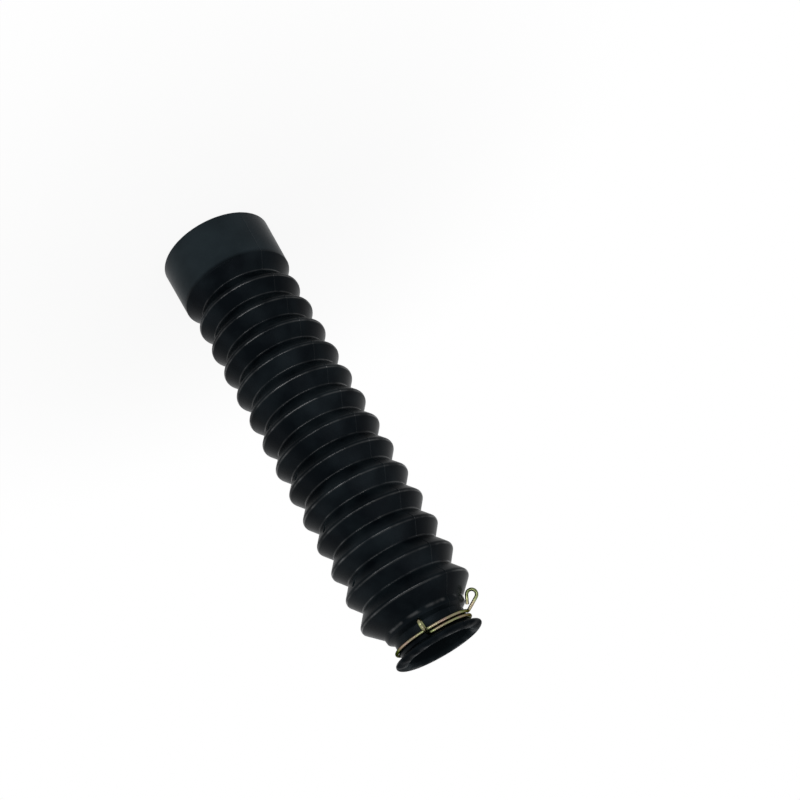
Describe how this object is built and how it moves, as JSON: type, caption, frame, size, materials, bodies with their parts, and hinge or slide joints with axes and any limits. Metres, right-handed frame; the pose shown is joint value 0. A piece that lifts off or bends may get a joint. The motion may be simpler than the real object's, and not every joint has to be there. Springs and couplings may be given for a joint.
{
  "type": "motorcycle fork gaiter",
  "caption": "Pleated black rubber boot with a wide plain collar and a small flanged neck, gripped there by a sprung wire clip with an eye at each end.",
  "frame": {"origin": "centre of the collar's mouth, on the face that it stands on", "axes": "+Z along the boot's axis from the collar to the small neck; the mould's parting plane is x = 0 and the breather holes lie along +X"},
  "size_m": [0.0656, 0.0656, 0.265],
  "materials": {
    "black_rubber": "satin moulded black rubber",
    "yellow_zinc": "steel spring wire, zinc plated and yellow passivated, bright"
  },
  "bodies": {
    "root": {"rubber_boot": "black_rubber", "neck_clip": "yellow_zinc"}
  },
  "joints": []
}
